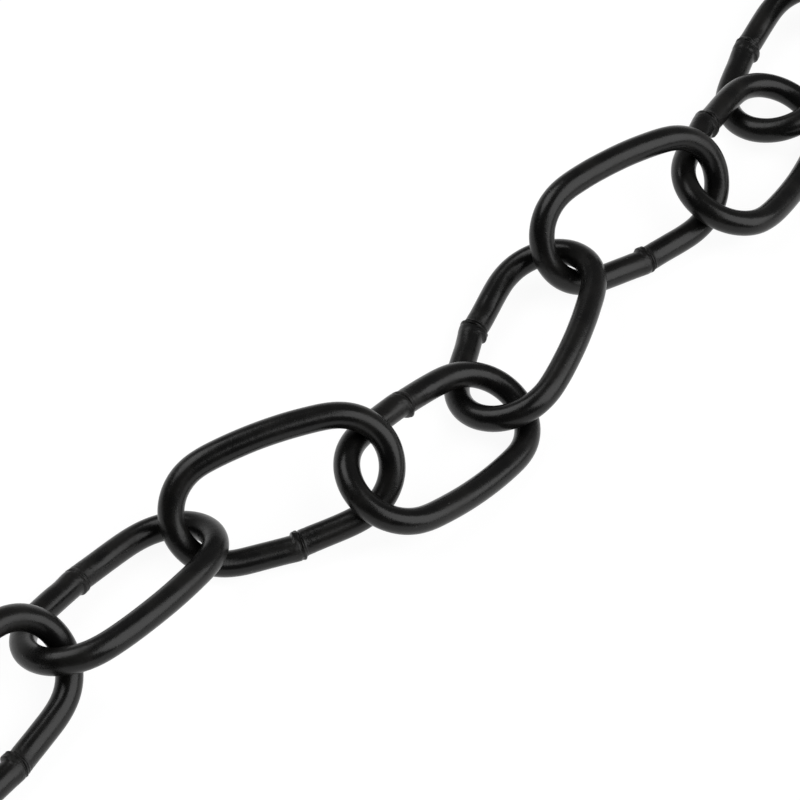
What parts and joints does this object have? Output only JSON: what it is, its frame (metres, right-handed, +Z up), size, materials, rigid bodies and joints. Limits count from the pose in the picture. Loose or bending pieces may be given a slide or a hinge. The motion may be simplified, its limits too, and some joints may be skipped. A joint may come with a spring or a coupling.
{
  "type": "side-welded steel chain",
  "caption": "Length of black side-welded steel chain with long oval links, lying slack on a floor in one wide bend.",
  "frame": {"origin": "middle of the box's underside, on the floor", "axes": "+Z up, +X along the longest extent, to the right in the picture, +Y away from the picture's camera"},
  "size_m": [0.4582, 0.3438, 0.0279],
  "materials": {
    "black_coating": "semi-gloss"
  },
  "bodies": {
    "root": {"link_01": "black_coating", "link_02": "black_coating", "link_03": "black_coating", "link_04": "black_coating", "link_05": "black_coating", "link_06": "black_coating", "link_07": "black_coating", "link_08": "black_coating", "link_09": "black_coating", "link_10": "black_coating", "link_11": "black_coating", "link_12": "black_coating", "link_13": "black_coating", "link_14": "black_coating", "link_15": "black_coating", "link_16": "black_coating", "link_17": "black_coating", "link_18": "black_coating", "link_19": "black_coating", "link_20": "black_coating", "link_21": "black_coating", "link_22": "black_coating", "link_23": "black_coating"}
  },
  "joints": []
}
